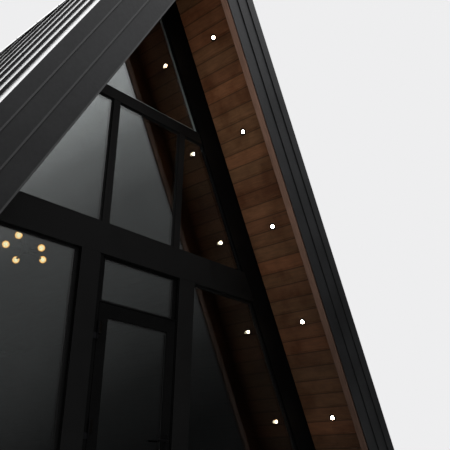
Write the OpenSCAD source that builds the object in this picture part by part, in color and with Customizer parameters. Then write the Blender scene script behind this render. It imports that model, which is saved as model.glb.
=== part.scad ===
// A-frame cabin: steep standing-seam roof, glazed front gable, timber soffits.
// Millimetres. X is the width, the glazed gable faces -Y, Z is up, ground at zero.

/* [Overall] */
// Pitch of both roof slopes from the horizontal, in degrees
roof_angle = 62.4; // [55:0.1:66]
// Height of the sharp meeting point of both outer roof planes
apex_height = 6930; // [6000:10:8000]
// Length from fascia face to fascia face
building_length = 9000; // [7000:50:12000]
// Depth of the roof overhang in front of each gable frame
overhang_depth = 756; // [500:2:900]
// Top of the ground floor above the ground
floor_level = 300; // [250:10:500]
// Height of the roof's foot above the ground
roof_foot = 150; // [100:10:220]
// Thickness of each gable wall
gable_thick = 120; // [100:5:180]

/* [Roof] */
// Depth of the metal pans below the top edge of the fascia
pan_drop = 4; // [2:1:14]
// Thickness of the metal sheet with its underlay
sheet_thick = 12; // [8:1:20]
// Height of a standing seam above the pans
seam_height = 22; // [15:1:30]
// Width of the folded head of a standing seam
seam_width = 20; // [12:1:30]
// Height of the folded head
seam_head = 10; // [6:1:14]
// Thickness of the upright web under the head
seam_web = 8; // [4:1:11]
// Distance from the fascia face to the first seam
first_seam = 406; // [250:2:500]
// Number of bays between the first and the last seam
seam_bays = 16; // [10:1:22]
// Inner face of the structural slope, below the outer roof plane
slab_depth = 266; // [220:2:320]
// Thickness of the boards under the overhang and inside
board_thick = 20; // [14:1:28]
// Depth of the flat ridge below the sharp roof apex
ridge_flat_drop = 32; // [30:1:60]
// Length of the ridge cap down each slope
ridge_cap_run = 190; // [120:5:260]
// Length of the closers under the cap
closer_run = 14; // [8:1:30]
// Thickness of the ridge cap
ridge_cap_thick = 6; // [4:1:10]

/* [Fascia] */
// Thickness of the fascia with its drip lips
fascia_thick = 20; // [18:1:45]
// Depth of the lip of the upper strip below the outer roof plane
fascia_strip_top = 124; // [90:1:150]
// Distance from that lip to the lip of the middle strip
fascia_strip_mid = 162; // [120:1:200]
// Distance from that lip to the lip of the lower strip
fascia_strip_low = 174; // [120:1:200]
// Reach of a drip lip before its strip
lip_reach = 11; // [6:1:12]
// Run of the strip's bend into its drip lip
lip_run = 12; // [6:1:18]
// Width of the gap under a drip lip
lip_gap = 5; // [3:1:10]
// Depth of the gap under a drip lip
lip_gap_deep = 17; // [13:1:17]
// Thickness of the timber barge board behind the fascia
barge_thick = 68; // [45:1:90]
// Height of the barge board's lower edge above the lowest drip lip
barge_lift = 2; // [0:1:20]
// Shadow gap between barge board and soffit boards
barge_gap = 6; // [3:1:12]

/* [Lights] */
// Distance of the downlight row from the fascia face
light_setback = 432; // [300:2:500]
// Radius of a downlight
light_radius = 38; // [30:1:50]
// Depth of the downlight rim under the boards
light_rim = 5; // [3:1:10]
// Distance of the first downlight from the centre line
light_first = 469; // [400:1:600]
// Height of the lowest downlight above the roof's foot
light_low = 635; // [400:5:1200]
// Downlights on one slope
light_count = 6; // [3:1:6]

/* [Front gable] */
// Set-back of the black casing behind the frame face
casing_setback = 20; // [10:1:30]
// Inner edge of the casing below the outer roof plane
casing_depth = 560; // [480:2:640]
// Underside of the floor-level beam above the floor
beam_low = 2518; // [2400:2:2600]
// Top of the floor-level beam above the floor
beam_high = 2806; // [2700:2:2900]
// Outer half width of the pair of posts
post_outer = 652; // [600:1:720]
// Inner half width of the pair of posts
post_inner = 457; // [440:1:500]
// Centre of each upper mullion from the middle
mullion_at = 421; // [400:1:500]
// Width of an upper mullion
mullion_wide = 76; // [60:1:130]
// Height of the triangular light at the top of the gable
apex_light_high = 1248; // [1000:2:1400]
// Depth of the bar under the triangular light
transom_deep = 115; // [90:1:200]
// Set-back of the mullions and of the bar above them behind the frame face
bar_setback = 30; // [20:1:38]
// Set-back of the glass behind the frame face
glass_setback = 50; // [48:1:66]
// Thickness of a double-glazed pane
glass_thick = 24; // [18:1:32]
// Face width of the sash rings of the lower panes
sash_low_wide = 30; // [20:1:80]
// Face width of those rings under the beam
sash_low_top = 8; // [6:1:80]
// Face width of the sash rings of the upper panes
sash_high_wide = 8; // [6:1:60]
// Depth of a sash ring
sash_deep = 50; // [40:1:60]
// Front of a sash ring before its glass
sash_proud = 10; // [6:1:10]
// Height of the bottom rails beside the door
sill_high = 90; // [60:2:140]
// Set-back of the bottom rails behind the frame face
sill_setback = 30; // [20:1:38]

/* [Door] */
// Width of the door jamb on the hinge side
jamb_left = 40; // [32:1:50]
// Width of the door jamb on the latch side
jamb_right = 8; // [6:1:50]
// Gap between the leaf and its frame on the hinge side and the head
leaf_gap = 5; // [5:0.5:8]
// Gap between the leaf and its frame on the latch side
latch_gap = 8; // [8:0.5:12]
// Top of the door leaf above the floor
leaf_top = 2100; // [2000:5:2200]
// Height of the threshold
threshold_high = 15; // [10:1:25]
// Thickness of the door leaf
leaf_thick = 56; // [44:1:64]
// Set-back of the leaf behind the frame face
leaf_setback = 14; // [14:1:20]
// Width of each stile of the leaf
leaf_stile = 96; // [80:1:120]
// Height of the top rail of the leaf
leaf_rail_top = 116; // [90:1:140]
// Height of the bottom rail of the leaf
leaf_rail_low = 220; // [160:2:300]
// Height of the bar over the door
door_bar_high = 12; // [10:1:50]
// Height of the head of the door frame under the beam
door_head_high = 10; // [4:1:40]
// Face width of the ring over and under the light above the door
door_light_ring = 10; // [8:1:30]
// Face width of that ring at its sides
door_light_side = 36; // [8:1:50]
// Reach of the stops behind the leaf
door_stop = 22; // [12:1:30]
// Set-back of the door frame from the inner face of the wall
jamb_short = 8; // [4:1:20]
// Radius of the hinge knuckles
hinge_radius = 7; // [5:0.5:8]
// Height of the leaf's hinge knuckles
hinge_high = 100; // [60:5:140]
// Width of a hinge flap
hinge_flap = 40; // [30:1:50]
// Set-back of a hinge flap behind the frame face
hinge_flap_in = 5; // [4:0.5:7]
// Thickness of the web between knuckle and flap
hinge_web = 6; // [4:0.5:7]
// Height of the lowest hinge above the leaf's foot
hinge_low = 180; // [120:5:300]
// Distance of the foot of the top hinge from the leaf's top
hinge_top = 260; // [220:5:400]
// Height of the lever above the floor
lever_height = 1050; // [950:5:1150]
// Length of the lever
lever_long = 120; // [90:2:140]
// Distance of the lever from the leaf
lever_out = 45; // [35:1:55]
// Radius of the lever
lever_radius = 9; // [7:0.5:11]
// Width of the lever's plate
plate_wide = 36; // [28:1:50]
// Thickness of the lever's plate
plate_thick = 8; // [5:0.5:12]
// Reach of the plate below the lever
plate_low = 110; // [60:2:160]
// Reach of the plate above the lever
plate_high = 60; // [30:2:90]

/* [Floors] */
// Thickness of the loft floor
loft_thick = 180; // [140:5:240]
// Length of the hatch in the loft floor
hatch_long = 2200; // [1200:10:2600]
// Width of the hatch in the loft floor
hatch_wide = 1100; // [700:10:1300]
// Floor left between the hatch and the walls
hatch_edge = 60; // [40:5:120]
// Thickness of the ground floor
floor_thick = 150; // [100:5:200]
// Inward reach of the footing beyond the inner roof face
footing_ledge = 120; // [80:5:200]
// Height of the porch slab
porch_high = 150; // [100:10:180]

/* [Back gable] */
// Width of a back window opening
back_window_wide = 900; // [700:10:1100]
// Sill of the ground floor back windows above the floor
back_window_sill = 900; // [700:10:1100]
// Height of a back window opening
back_window_high = 1200; // [900:10:1400]
// Gap from the middle to a ground floor back window
back_window_in = 350; // [250:10:500]
// Width of the loft window in the back gable
back_loft_wide = 700; // [500:10:760]
// Sill of the loft window above the loft floor
back_loft_sill = 300; // [200:10:400]
// Width of the frame of a back window
back_frame_wide = 60; // [45:1:80]
// Depth of the frame of a back window
back_frame_deep = 80; // [60:1:90]
// Set-back of the frame of a back window
back_frame_in = 5; // [0:1:10]
// Set-back of the glass of a back window
back_glass_in = 35; // [25:1:55]

/* [Lamp] */
// Distance of the lamp to the left of the middle
lamp_left = 935; // [600:5:1000]
// Distance of the lamp behind the glazed wall's inner face
lamp_behind = 304; // [290:2:900]
// Length of the lamp's stem below the loft floor
lamp_stem = 120; // [80:5:200]
// Radius of a lamp bulb
bulb_radius = 30; // [24:1:55]
// Radius of the lamp's hub
lamp_hub = 34; // [30:1:45]
// Radius of a lamp arm
arm_radius = 8; // [6:1:12]
// Radius of the lamp's ceiling plate
lamp_plate = 60; // [45:1:75]
// Height of the lamp's ceiling plate
lamp_plate_high = 20; // [12:1:30]
// Depth to which the lamp's rods run into the hub
rod_in = 10; // [5:1:15]

/* [Hidden] */
$fn = 48;

// Face planes along Y
y_face = -building_length / 2;
y_board = y_face + fascia_thick;
y_barge = y_board + barge_thick;
y_frame = y_face + overhang_depth;
y_inner = y_frame + gable_thick;
y_casing = y_frame + casing_setback;
y_glass = y_frame + glass_setback;
// Offsets below the outer roof plane
d_soffit = slab_depth + board_thick;
d_sheet = pan_drop + sheet_thick;
d_seam = pan_drop - seam_height;
seam_pitch = (building_length - 2 * first_seam) / seam_bays;
d_fascia = fascia_strip_top + fascia_strip_mid + fascia_strip_low;
z_ridge = apex_height - ridge_flat_drop;
z_beam_low = floor_level + beam_low;
z_beam_high = floor_level + beam_high;
z_bar_high = apex_height - casing_depth / cos(roof_angle) - apex_light_high;
z_bar_low = z_bar_high - transom_deep;
z_loft_low = z_beam_high - loft_thick;
z_leaf_top = floor_level + leaf_top;
z_bar_door = z_leaf_top + leaf_gap + door_bar_high;
z_light_door = z_beam_low - door_head_high;
frame_left = jamb_left - post_inner;
frame_right = post_inner - jamb_right;
leaf_left = frame_left + leaf_gap;
leaf_right = frame_right - latch_gap;
pane_left = leaf_left + leaf_stile;
pane_right = leaf_right - leaf_stile;
leaf_low = floor_level + threshold_high + leaf_gap;
y_leaf = y_frame + leaf_setback;
// Joint left where sloping faces meet
seat = 0.3;
// Reach of a cutting block beyond what it cuts
over = 1;
y_bar = y_frame + bar_setback;
y_sash = y_glass - sash_proud;
light_step = (half_at(d_soffit + seat, roof_foot + light_low) - light_first) / (light_count - 1);
d_glazed = casing_depth + seat;
metal = [0.15, 0.155, 0.165];
black = [0.07, 0.07, 0.075];
timber = [0.36, 0.23, 0.14];
pale = [0.62, 0.6, 0.57];
clear = [0.75, 0.8, 0.82, 0.35];
lit = [1, 0.85, 0.62];

// Half width of the line that lies d below the outer roof plane, at height z
function half_at(d, z) = (apex_height - d / cos(roof_angle) - z) / tan(roof_angle);
// Height of that line's apex
function peak(d) = apex_height - d / cos(roof_angle);

// Outline drawn in X and Z, carried from y0 to y1
module along(y0, y1) {
    translate([0, y1, 0]) rotate([90, 0, 0]) linear_extrude(height = y1 - y0) children();
}
// Part of one slope between two offsets, from the apex down to z0
module band(side, d1, d2, z0, y0, y1) {
    along(y0, y1) polygon([[0, peak(d1)], [side * half_at(d1, z0), z0],
        [side * half_at(d2, z0), z0], [0, peak(d2)]]);
}
// The same, cut flat at the ridge above its inner line's apex
module band_flat(side, d1, d2, z0, y0, y1) {
    along(y0, y1) polygon([[0, z_ridge], [side * half_at(d1, z_ridge), z_ridge],
        [side * half_at(d1, z0), z0], [side * half_at(d2, z0), z0], [0, peak(d2)]]);
}
// A thin strip whose inner line also meets the flat ridge
module strip_flat(side, d1, d2, z0, y0, y1) {
    along(y0, y1) polygon([[side * half_at(d1, z_ridge), z_ridge],
        [side * half_at(d1, z0), z0], [side * half_at(d2, z0), z0],
        [side * half_at(d2, z_ridge), z_ridge]]);
}
// Full-width piece between two heights, its ends cut to the slopes
module trapezoid(d, z0, z1, y0, y1) {
    along(y0, y1) polygon([[-half_at(d, z0), z0], [half_at(d, z0), z0],
        [half_at(d, z1), z1], [-half_at(d, z1), z1]]);
}
// Piece beside a post: a plumb inner edge and an outer edge along the slope
module wing(side, x0, d, z0, z1, y0, y1) {
    along(y0, y1) polygon([[side * x0, z0], [side * half_at(d, z0), z0],
        [side * half_at(d, z1), z1], [side * x0, z1]]);
}
module gable(d, z0, y0, y1) {
    along(y0, y1) polygon([[-half_at(d, z0), z0], [half_at(d, z0), z0], [0, peak(d)]]);
}
module slab(x0, x1, y0, y1, z0, z1) {
    translate([x0, y0, z0]) cube([x1 - x0, y1 - y0, z1 - z0]);
}

// Concrete strips under both slopes and under both gables
module foundation() {
    out = half_at(d_sheet, roof_foot);
    in = half_at(d_soffit, roof_foot) - footing_ledge;
    color(pale) for (s = [-1, 1])
        slab(min(s * out, s * in), max(s * out, s * in), y_board, -y_board, 0, roof_foot);
    color(pale) slab(-in, in, y_frame, y_frame + 2 * gable_thick, 0, roof_foot);
    color(pale) slab(-in, in, -y_frame - 2 * gable_thick, -y_frame, 0, roof_foot);
}
module porch_slab() {
    in = half_at(d_soffit, roof_foot) - footing_ledge - seat;
    color(pale) slab(-in, in, y_board, y_frame, 0, min(porch_high, roof_foot));
}
module ground_floor() {
    color(timber) trapezoid(d_soffit + seat, floor_level - floor_thick, floor_level,
        y_frame, -y_frame);
}
module loft_floor() {
    hx = half_at(d_soffit, z_beam_high) - hatch_edge;
    hy = -y_inner - hatch_edge;
    color(timber) difference() {
        trapezoid(d_soffit + seat, z_loft_low, z_beam_high, y_inner, -y_inner);
        slab(hx - hatch_wide, hx, hy - hatch_long, hy, z_loft_low - over, z_beam_high + over);
    }
}
module roof_slab(side) {
    color(timber) band(side, d_sheet, slab_depth, roof_foot, y_board, -y_board);
}
module roof_sheet(side) {
    color(metal) union() {
        band_flat(side, pan_drop, d_sheet, roof_foot, y_board, -y_board);
        for (i = [0 : seam_bays]) {
            y = y_face + first_seam + i * seam_pitch;
            strip_flat(side, d_seam, d_seam + seam_head, roof_foot,
                y - seam_width / 2, y + seam_width / 2);
            strip_flat(side, d_seam, pan_drop, roof_foot, y - seam_web / 2, y + seam_web / 2);
        }
    }
}
module ridge_cap() {
    t = ridge_cap_thick;
    z1 = z_ridge + t;
    z0 = z_ridge - ridge_cap_run * sin(roof_angle);
    d2 = d_seam - seat;
    d1 = d2 - t;
    color(metal) along(y_board, -y_board) polygon([
        [-half_at(d1, z1), z1], [half_at(d1, z1), z1], [half_at(d1, z0), z0],
        [half_at(d2, z0), z0], [half_at(d2, z_ridge), z_ridge],
        [-half_at(d2, z_ridge), z_ridge], [-half_at(d2, z0), z0],
        [-half_at(d1, z0), z0]]);
}
// Folded closers between the seams, under the lower edges of the cap
module ridge_closers() {
    z0 = z_ridge - ridge_cap_run * sin(roof_angle);
    w = seam_width / 2 + seat;
    color(metal) for (s = [-1, 1], i = [0 : seam_bays - 1]) {
        y = y_face + first_seam + i * seam_pitch;
        along(y + w, y + seam_pitch - w) polygon([
            [s * half_at(d_seam, z0 + closer_run), z0 + closer_run], [s * half_at(d_seam, z0), z0],
            [s * half_at(pan_drop - seat, z0), z0],
            [s * half_at(pan_drop - seat, z0 + closer_run), z0 + closer_run]]);
    }
}
module lining(side) {
    color(timber) band(side, slab_depth, d_soffit, floor_level, y_inner, -y_inner);
}
// Section drawn as depth and Y, carried up one slope, cut at the middle and at the foot
module raked(side) {
    base = half_at(0, 0);
    intersection() {
        translate([side * base, 0, 0]) rotate([0, side * (roof_angle - 90), 0])
            linear_extrude(height = apex_height / sin(roof_angle) + base) children();
        slab(min(0, side * base), max(0, side * base), -building_length, building_length,
            roof_foot, apex_height + over);
    }
}
// Three sheet-metal strips along the rake, each bent forwards into a drip lip
module fascia(side, front) {
    k = lip_reach;
    c1 = fascia_strip_top;
    c2 = c1 + fascia_strip_mid;
    section = [[0, k], [c1 - lip_run, k], [c1, 0], [c1, lip_gap_deep],
        [c1 + lip_gap, lip_gap_deep], [c1 + lip_gap, k],
        [c2 - lip_run, k], [c2, 0], [c2, lip_gap_deep],
        [c2 + lip_gap, lip_gap_deep], [c2 + lip_gap, k],
        [d_fascia - lip_run, k], [d_fascia, 0], [d_fascia - fascia_thick, fascia_thick],
        [0, fascia_thick]];
    f = front ? 1 : -1;
    color(metal) raked(side) polygon([for (p = section) [-side * p[0], f * (y_face + p[1])]]);
}
module soffit(side, front) {
    y0 = y_barge + barge_gap;
    color(timber)
        if (front) band(side, slab_depth, d_soffit, roof_foot, y0, y_casing);
        else band(side, slab_depth, d_soffit, roof_foot, -y_casing, -y0);
}
// Barge boards that hang behind the fascias
module soffit_trims() {
    color(timber) for (s = [-1, 1]) {
        band(s, slab_depth, d_fascia - barge_lift, roof_foot, y_board, y_barge);
        band(s, slab_depth, d_fascia - barge_lift, roof_foot, -y_barge, -y_board);
    }
}
module downlights(side) {
    color(lit) for (i = [0 : light_count - 1]) {
        x = light_first + i * light_step;
        z = peak(d_soffit + seat) - x * tan(roof_angle);
        translate([side * x, y_face + light_setback, z])
            rotate([0, side * (roof_angle + 180), 0])
            cylinder(h = light_rim, r = light_radius);
    }
}
module casing_front(side) {
    color(black) band(side, slab_depth, casing_depth, floor_level, y_casing, y_inner);
}
module front_beam() {
    color(black) trapezoid(d_glazed, z_beam_low, z_beam_high, y_frame, y_inner);
}
module post(side) {
    x0 = side > 0 ? post_inner : -post_outer;
    color(black) slab(x0, x0 + post_outer - post_inner, y_frame, y_inner, floor_level, z_beam_low);
}
module front_sills() {
    color(black) for (s = [-1, 1])
        wing(s, post_outer, d_glazed, floor_level, floor_level + sill_high,
            y_frame + sill_setback, y_inner);
}
module mullions() {
    w = mullion_wide / 2;
    color(black) for (s = [-1, 1])
        slab(s * mullion_at - w, s * mullion_at + w, y_bar, y_inner, z_beam_high, z_bar_low);
}
module upper_transom() {
    color(black) trapezoid(d_glazed, z_bar_low, z_bar_high, y_bar, y_inner);
}
// Ring and pane of each light share one inner outline
module sashes_lower() {
    f = sash_low_wide;
    z0 = floor_level + sill_high;
    z1 = z_beam_low - sash_low_top;
    y1 = y_sash + sash_deep;
    color(black) for (s = [-1, 1]) difference() {
        wing(s, post_outer, d_glazed, z0, z_beam_low, y_sash, y1);
        wing(s, post_outer + f, casing_depth + f, z0 + f, z1, y_sash - over, y1 + over);
    }
}
module panes_lower() {
    f = sash_low_wide;
    z0 = floor_level + sill_high;
    color(clear) for (s = [-1, 1])
        wing(s, post_outer + f, casing_depth + f + seat, z0 + f, z_beam_low - sash_low_top,
            y_glass, y_glass + glass_thick);
}
module sashes_upper() {
    f = sash_high_wide;
    y1 = y_sash + sash_deep;
    xm = mullion_at + mullion_wide / 2;
    xc = mullion_at - mullion_wide / 2;
    color(black) {
        for (s = [-1, 1]) difference() {
            wing(s, xm, d_glazed, z_beam_high, z_bar_low, y_sash, y1);
            wing(s, xm + f, casing_depth + f, z_beam_high + f, z_bar_low - f,
                y_sash - over, y1 + over);
        }
        difference() {
            slab(-xc, xc, y_sash, y1, z_beam_high, z_bar_low);
            slab(-xc + f, xc - f, y_sash - over, y1 + over, z_beam_high + f, z_bar_low - f);
        }
        difference() {
            gable(d_glazed, z_bar_high, y_sash, y1);
            gable(casing_depth + f, z_bar_high + f, y_sash - over, y1 + over);
        }
    }
}
module panes_upper() {
    f = sash_high_wide;
    y1 = y_glass + glass_thick;
    xm = mullion_at + mullion_wide / 2;
    xc = mullion_at - mullion_wide / 2;
    color(clear) {
        for (s = [-1, 1])
            wing(s, xm + f, casing_depth + f + seat, z_beam_high + f, z_bar_low - f, y_glass, y1);
        slab(-xc + f, xc - f, y_glass, y1, z_beam_high + f, z_bar_low - f);
        gable(casing_depth + f + seat, z_bar_high + f, y_glass, y1);
    }
}
// Jambs with stops, head, bar over the leaf, threshold and the ring of the light above
module door_frame() {
    y_stop = y_leaf + leaf_thick + leaf_gap;
    y_end = y_inner - jamb_short;
    y_ring = y_glass + glass_thick + sash_proud;
    z_head = z_leaf_top + leaf_gap;
    f = door_light_ring;
    k = door_light_side;
    color(black) union() {
        slab(-post_inner, frame_left, y_leaf, y_end, floor_level, z_beam_low);
        slab(frame_right, post_inner, y_leaf, y_end, floor_level, z_beam_low);
        slab(frame_left, frame_left + door_stop, y_stop, y_end, floor_level, z_head);
        slab(frame_right - door_stop, frame_right, y_stop, y_end, floor_level, z_head);
        slab(frame_left, frame_right, y_leaf, y_end, z_head, z_bar_door);
        slab(frame_left, frame_right, y_leaf, y_end, z_light_door, z_beam_low);
        slab(frame_left, frame_right, y_stop, y_end, z_head - door_stop, z_head);
        slab(frame_left, frame_right, y_leaf, y_end, floor_level, floor_level + threshold_high);
        difference() {
            slab(frame_left, frame_right, y_sash, y_ring, z_bar_door, z_light_door);
            slab(frame_left + k, frame_right - k, y_sash - over, y_ring + over,
                z_bar_door + f, z_light_door - f);
        }
    }
}
module door_transom_pane() {
    f = door_light_ring;
    k = door_light_side;
    color(clear) slab(frame_left + k, frame_right - k, y_glass, y_glass + glass_thick,
        z_bar_door + f, z_light_door - f);
}
// Each back window: left edge, sill, width, height
back_windows = [
    [back_window_in, floor_level + back_window_sill, back_window_wide, back_window_high],
    [-back_window_in - back_window_wide, floor_level + back_window_sill, back_window_wide,
        back_window_high],
    [-back_loft_wide / 2, z_beam_high + back_loft_sill, back_loft_wide,
        z_bar_low - z_beam_high - back_loft_sill]];
module back_window(w, grow, y0, y1) {
    slab(w[0] + grow, w[0] + w[2] - grow, y0, y1, w[1] + grow, w[1] + w[3] - grow);
}
module back_wall() {
    color(timber) difference() {
        gable(d_glazed, floor_level, -y_inner, -y_casing);
        for (w = back_windows) back_window(w, 0, -y_inner - over, -y_casing + over);
    }
}
module back_casing() {
    color(black) for (s = [-1, 1])
        band(s, slab_depth, casing_depth, floor_level, -y_inner, -y_casing);
}
module back_frames() {
    y1 = -y_frame - back_frame_in;
    y0 = y1 - back_frame_deep;
    color(black) for (w = back_windows) difference() {
        back_window(w, 0, y0, y1);
        back_window(w, back_frame_wide, y0 - over, y1 + over);
    }
}
module back_panes() {
    y1 = -y_frame - back_glass_in;
    color(clear) for (w = back_windows) back_window(w, back_frame_wide, y1 - glass_thick, y1);
}

// Ceiling lamp with five bulbs on radial arms
lamp_at = [-lamp_left, y_inner + lamp_behind, z_loft_low - lamp_stem];
lamp_tips = [[-180, -2, 0], [30, 187, -40], [102, -71, 30], [217, 51, -20], [-167, -165, 50]];
// Share of each reach that its arm takes up, before the bulb
arm_share = 0.82;
module rod(p, q, r) {
    v = q - p;
    n = norm(v);
    translate(p) rotate([0, acos(v[2] / n), atan2(v[1], v[0])]) cylinder(h = n, r = r);
}
module lamp_arms() {
    root = lamp_hub - rod_in;
    color(black) translate(lamp_at) union() {
        translate([0, 0, -lamp_hub]) cylinder(h = 2 * lamp_hub, r = lamp_hub);
        translate([0, 0, root]) cylinder(h = lamp_stem - root - lamp_plate_high / 2, r = arm_radius);
        translate([0, 0, lamp_stem - lamp_plate_high]) cylinder(h = lamp_plate_high, r = lamp_plate);
        for (t = lamp_tips) rod(t * root / norm(t), t * arm_share, arm_radius);
    }
}
module lamp_bulbs() {
    color(lit) for (t = lamp_tips)
        translate(lamp_at + t * (arm_share + (bulb_radius + seat) / norm(t)))
            sphere(r = bulb_radius);
}

module door_leaf() {
    color(black) difference() {
        slab(leaf_left, leaf_right, y_leaf, y_leaf + leaf_thick, leaf_low, z_leaf_top);
        slab(pane_left, pane_right, y_leaf - over, y_leaf + leaf_thick + over,
            leaf_low + leaf_rail_low, z_leaf_top - leaf_rail_top);
    }
}
module door_pane() {
    y0 = y_leaf + (leaf_thick - glass_thick) / 2;
    color(clear) slab(pane_left, pane_right, y0, y0 + glass_thick,
        leaf_low + leaf_rail_low, z_leaf_top - leaf_rail_top);
}
// A plate on each side with a neck and a lever that points to the hinges
module door_handle() {
    x = (pane_right + leaf_right) / 2;
    z = floor_level + lever_height;
    w = plate_wide / 2;
    color(black) for (s = [-1, 1]) {
        face = s < 0 ? y_leaf : y_leaf + leaf_thick;
        y_plate = face + s * plate_thick;
        y_lever = face + s * lever_out;
        y_neck = face + s * plate_thick / 2;
        union() {
            slab(x - w, x + w, min(face, y_plate), max(face, y_plate), z - plate_low,
                z + plate_high);
            translate([x, min(y_neck, y_lever), z]) rotate([-90, 0, 0])
                cylinder(h = abs(y_lever - y_neck), r = lever_radius);
            translate([x - lever_long, y_lever, z]) rotate([0, 90, 0])
                cylinder(h = lever_long + lever_radius, r = lever_radius);
        }
    }
}
// Each hinge: a tall knuckle on the leaf stands on a short one on the jamb
hinge_at = [frame_left + leaf_gap / 2, y_frame];
hinge_levels = [leaf_low + hinge_low, (leaf_low + z_leaf_top) / 2, z_leaf_top - hinge_top];
module knuckle(z, h) {
    translate([hinge_at[0], hinge_at[1], z]) cylinder(h = h, r = hinge_radius);
}
module hinge_half(x_flap, x_web, z, h) {
    y = y_frame + hinge_flap_in;
    knuckle(z, h);
    slab(min(x_flap, x_flap + sign(x_web - hinge_at[0]) * hinge_flap),
        max(x_flap, x_flap + sign(x_web - hinge_at[0]) * hinge_flap), y, y_leaf, z, z + h);
    slab(min(hinge_at[0], x_web), max(hinge_at[0], x_web), y_frame + over,
        y_frame + over + hinge_web, z, z + h);
}
module door_hinges() {
    color(black) for (z = hinge_levels) union()
        hinge_half(leaf_left, leaf_left + hinge_radius, z, hinge_high);
}
module frame_hinges() {
    h = hinge_high / 2;
    color(black) for (z = hinge_levels) union()
        hinge_half(frame_left, frame_left - hinge_radius, z - seat - h, h);
}

foundation();
porch_slab();
ground_floor();
loft_floor();
roof_slab(-1);  // roof_slab_left
roof_slab(1);  // roof_slab_right
roof_sheet(-1);  // roof_sheet_left
roof_sheet(1);  // roof_sheet_right
ridge_cap();
ridge_closers();
lining(-1);  // lining_left
lining(1);  // lining_right
fascia(-1, true);  // fascia_front_left
fascia(1, true);  // fascia_front_right
fascia(-1, false);  // fascia_back_left
fascia(1, false);  // fascia_back_right
soffit(-1, true);  // soffit_front_left
soffit(1, true);  // soffit_front_right
soffit(-1, false);  // soffit_back_left
soffit(1, false);  // soffit_back_right
soffit_trims();
downlights(-1);  // downlights_left
downlights(1);  // downlights_right
casing_front(-1);  // casing_front_left
casing_front(1);  // casing_front_right
front_beam();
post(-1);  // post_left
post(1);  // post_right
front_sills();
mullions();
upper_transom();
sashes_lower();
sashes_upper();
panes_lower();
panes_upper();
door_frame();
door_transom_pane();
back_wall();
back_casing();
back_frames();
back_panes();
frame_hinges();
lamp_arms();
lamp_bulbs();
door_leaf();
door_pane();
door_handle();
door_hinges();
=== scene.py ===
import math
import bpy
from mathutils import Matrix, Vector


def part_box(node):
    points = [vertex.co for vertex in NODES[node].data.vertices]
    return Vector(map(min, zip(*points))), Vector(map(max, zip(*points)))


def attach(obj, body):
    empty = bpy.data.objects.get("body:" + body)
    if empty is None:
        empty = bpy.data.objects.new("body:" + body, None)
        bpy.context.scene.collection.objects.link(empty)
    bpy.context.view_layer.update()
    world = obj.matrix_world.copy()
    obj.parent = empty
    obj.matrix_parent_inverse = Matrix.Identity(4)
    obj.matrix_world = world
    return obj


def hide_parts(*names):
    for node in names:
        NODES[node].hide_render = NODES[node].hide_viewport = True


bl_info = {
    "name": "A-frame cabin",
    "version": (1, 0, 0),
    "blender": (4, 5, 0),
    "location": "3D View > Sidebar > Cabin",
    "description": "Dresses an A-frame cabin in seamed steel, timber soffits, black glazing and warm lights",
    "category": "Object",
}

import bpy
from bpy.props import FloatProperty, FloatVectorProperty, PointerProperty
from mathutils import Matrix, Vector

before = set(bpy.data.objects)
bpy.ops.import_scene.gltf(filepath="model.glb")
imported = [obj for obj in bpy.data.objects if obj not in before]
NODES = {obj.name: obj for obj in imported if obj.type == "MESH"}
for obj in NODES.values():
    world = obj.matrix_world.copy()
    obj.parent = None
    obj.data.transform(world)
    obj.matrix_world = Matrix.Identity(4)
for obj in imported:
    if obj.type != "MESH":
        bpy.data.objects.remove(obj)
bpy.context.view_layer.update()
CABIN = "cabin"
DOOR = "door"

# The roof's slope and its outer planes, worked out from the fascia that lies in them
FASCIA_LOW, FASCIA_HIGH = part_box("fascia_front_right")
ROOF_FOOT = FASCIA_LOW.z
APEX = FASCIA_HIGH.z
SLOPE = math.atan2(APEX - ROOF_FOOT, FASCIA_HIGH.x)
DOWN = Vector((math.cos(SLOPE), 0, -math.sin(SLOPE)))
SIDES = ((-1, "left"), (1, "right"))

# Widths of rounded edges, in metres
SMALL_EDGE = 0.0006
FOLDED_EDGE = 0.0015
WOOD_EDGE = 0.003
CAST_EDGE = 0.008


def inwards(side):
    """The direction into the house, square to the slope on that side."""
    return Vector((-side * math.sin(SLOPE), 0, -math.cos(SLOPE)))


def peak(depth):
    """Height of the apex of the line that lies depth below the outer roof plane."""
    return APEX - depth / math.cos(SLOPE)


def depth_of(node):
    """Depth below the outer roof plane of a node that reaches the middle at its top."""
    return (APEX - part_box(node)[1].z) * math.cos(SLOPE)


def linear(hex_colour):
    """An sRGB hex value as linear RGBA."""
    values = [int(hex_colour[i : i + 2], 16) / 255 for i in (1, 3, 5)]
    return [v / 12.92 if v <= 0.04045 else ((v + 0.055) / 1.055) ** 2.4 for v in values] + [1.0]


def shade(colour, factor):
    """A linear colour made darker or lighter."""
    return [min(v * factor, 1.0) for v in colour[:3]] + [1.0]


def length(name, description, default):
    """A length in metres that a user may change."""
    return FloatProperty(name=name, description=description, default=default, min=0.0, unit="LENGTH")


def colour(name, description, default):
    """A colour that a user may change, given as an sRGB hex value."""
    return FloatVectorProperty(
        name=name, description=description, default=linear(default), subtype="COLOR", size=4, min=0.0, max=1.0
    )


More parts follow.
